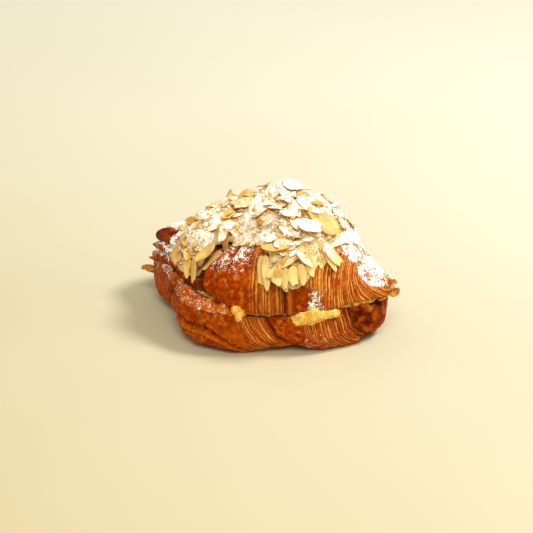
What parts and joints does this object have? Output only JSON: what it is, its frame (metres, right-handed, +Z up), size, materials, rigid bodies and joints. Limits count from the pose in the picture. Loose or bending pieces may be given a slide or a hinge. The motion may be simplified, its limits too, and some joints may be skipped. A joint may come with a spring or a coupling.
{
  "type": "almond croissant",
  "caption": "Twice-baked almond croissant, sliced and filled with almond cream, with a heap of cream and flaked almonds on top and a dusting of icing sugar.",
  "frame": {"origin": "on the surface that the croissant lies on, under the middle of the whole croissant's box", "axes": "+X along the croissant from its broad end to its thin torn tip; -Y towards its outer, convex side, where the cut shows; +Z up"},
  "size_m": [0.1492, 0.0896, 0.0778],
  "materials": {
    "base_crust": "satin",
    "lid_crust": "satin",
    "filling": "matte",
    "cream": "matte",
    "almond": "matte"
  },
  "bodies": {
    "root": {"almond_cream_filling": "filling", "almond_cream_topping": "cream", "almond_flake_01": "almond", "almond_flake_02": "almond", "almond_flake_03": "almond", "almond_flake_04": "almond", "almond_flake_05": "almond", "almond_flake_06": "almond", "almond_flake_07": "almond", "almond_flake_08": "almond", "almond_flake_09": "almond", "almond_flake_10": "almond", "almond_flake_11": "almond", "almond_flake_12": "almond", "almond_flake_13": "almond", "almond_flake_14": "almond", "almond_flake_15": "almond", "almond_flake_16": "almond", "almond_flake_17": "almond", "almond_flake_18": "almond", "almond_flake_19": "almond", "almond_flake_20": "almond", "almond_flake_21": "almond", "almond_flake_22": "almond", "almond_flake_23": "almond", "almond_flake_24": "almond", "almond_flake_25": "almond", "almond_flake_26": "almond", "almond_flake_27": "almond", "almond_flake_28": "almond", "almond_flake_29": "almond", "almond_flake_30": "almond", "almond_flake_31": "almond", "almond_flake_32": "almond", "almond_flake_33": "almond", "almond_flake_34": "almond", "almond_flake_35": "almond", "almond_flake_36": "almond", "almond_flake_37": "almond", "almond_flake_38": "almond", "almond_flake_39": "almond", "almond_flake_40": "almond", "almond_flake_41": "almond", "almond_flake_42": "almond", "almond_flake_43": "almond", "almond_flake_44": "almond", "almond_flake_45": "almond", "almond_flake_46": "almond", "almond_flake_47": "almond", "almond_flake_48": "almond", "almond_flake_49": "almond", "almond_flake_50": "almond", "almond_flake_51": "almond", "almond_flake_52": "almond", "croissant_base": "base_crust", "croissant_lid": "lid_crust"}
  },
  "joints": []
}
